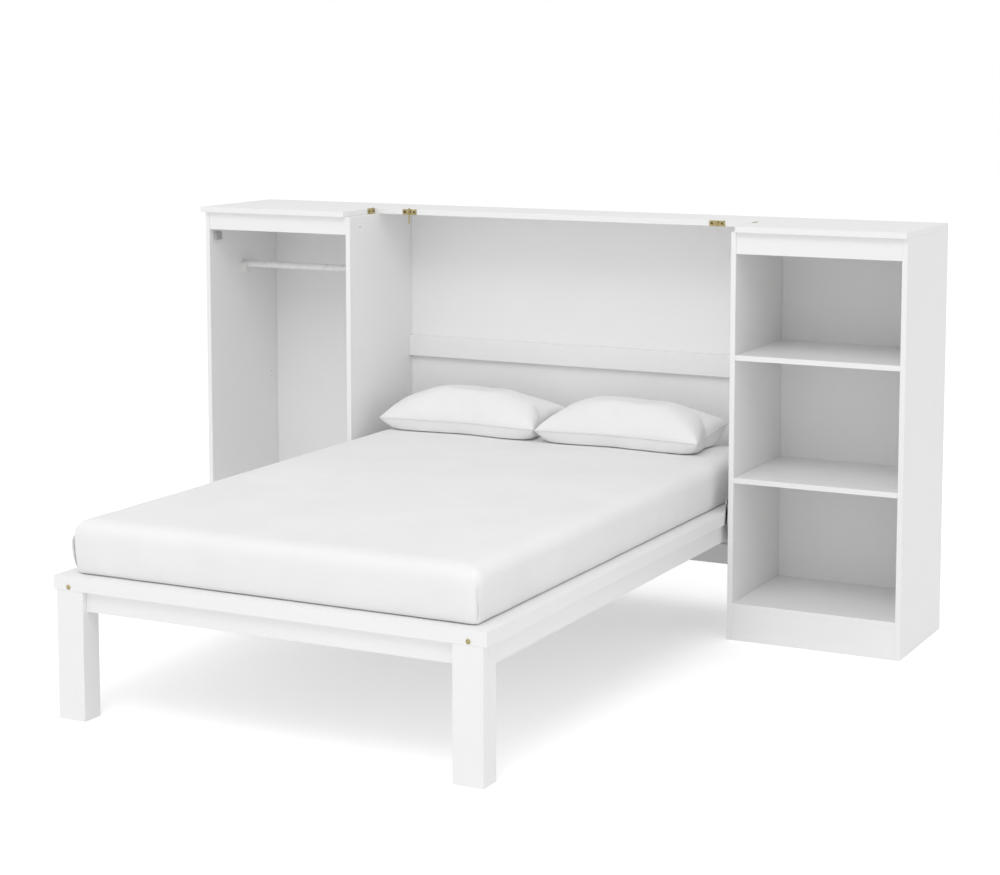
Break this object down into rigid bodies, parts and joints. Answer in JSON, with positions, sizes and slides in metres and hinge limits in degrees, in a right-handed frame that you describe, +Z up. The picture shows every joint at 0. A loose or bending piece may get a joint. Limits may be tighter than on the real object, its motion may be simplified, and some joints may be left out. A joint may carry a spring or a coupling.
{
  "type": "murphy wall bed",
  "caption": "Fold-down wall bed with mattress and pillows, pivoting in a niche between an open wardrobe with a hanging rod and a bookcase.",
  "frame": {"origin": "centre of the floor outline, on the floor", "axes": "+X to the right as seen from the foot of the bed, +Y from the bed's foot towards the wall, +Z up"},
  "size_m": [2.719, 2.213, 1.409],
  "materials": {
    "board_white": "satin white lacquer on board",
    "rod_white": "white enamel",
    "plastic_white": "moulded",
    "plastic_grey": "moulded",
    "brass": "aged, brushed",
    "pivot_steel": "brushed",
    "sheet_cotton": "woven fitted sheet",
    "pillow_cotton": "woven pillow case"
  },
  "bodies": {
    "cabinet": {"wardrobe_left_panel": "board_white", "wardrobe_right_panel": "board_white", "wardrobe_top": "board_white", "wardrobe_header": "board_white", "wardrobe_kick": "board_white", "wardrobe_floor": "board_white", "wardrobe_back": "board_white", "hanging_rod": "rod_white", "rod_saddle_left": "plastic_white", "rod_saddle_right": "plastic_white", "wardrobe_corner_block": "plastic_grey", "bookcase_left_panel": "board_white", "bookcase_right_panel": "board_white", "bookcase_top": "board_white", "bookcase_header": "board_white", "bookcase_kick": "board_white", "bookcase_floor": "board_white", "bookcase_back": "board_white", "shelf_lower": "board_white", "shelf_upper": "board_white", "centre_top": "board_white", "centre_back": "board_white", "upper_cleat": "board_white", "lower_cleat": "board_white", "latch_plate_left": "brass", "latch_plate_right": "brass", "strike_plate_left": "brass", "strike_plate_right": "brass", "cabinet_pivot_left": "pivot_steel", "cabinet_pivot_right": "pivot_steel", "pivot_washer_left": "plastic_grey", "pivot_washer_right": "plastic_grey"},
    "bed": {"foot_rail": "board_white", "head_rail": "board_white", "foot_apron": "board_white", "side_rail_left": "board_white", "side_rail_right": "board_white", "side_apron_left": "board_white", "side_apron_right": "board_white", "foot_leg_left": "board_white", "foot_leg_right": "board_white", "frame_bolt_left": "brass", "frame_bolt_right": "brass", "cross_rail_1": "board_white", "cross_rail_2": "board_white", "cross_rail_3": "board_white", "cross_rail_4": "board_white", "deck_foot": "board_white", "deck_head": "board_white", "centre_beam": "board_white", "bed_pivot_left": "pivot_steel", "bed_pivot_right": "pivot_steel", "mattress": "sheet_cotton", "pillow_left": "pillow_cotton", "pillow_right": "pillow_cotton"},
    "latch_pin": {"latch_pin": "brass"}
  },
  "joints": [
    {"name": "bed_lift", "type": "hinge", "parent": "cabinet", "child": "bed", "pos_m": [0.0195, 0.6675, 0.455], "axis": [-1, 0, 0], "range_deg": [0, 90]},
    {"name": "latch_pin_slide", "type": "slide", "parent": "cabinet", "child": "latch_pin", "axis": [0, 0, 1], "range_m": [0, 0.03]}
  ]
}
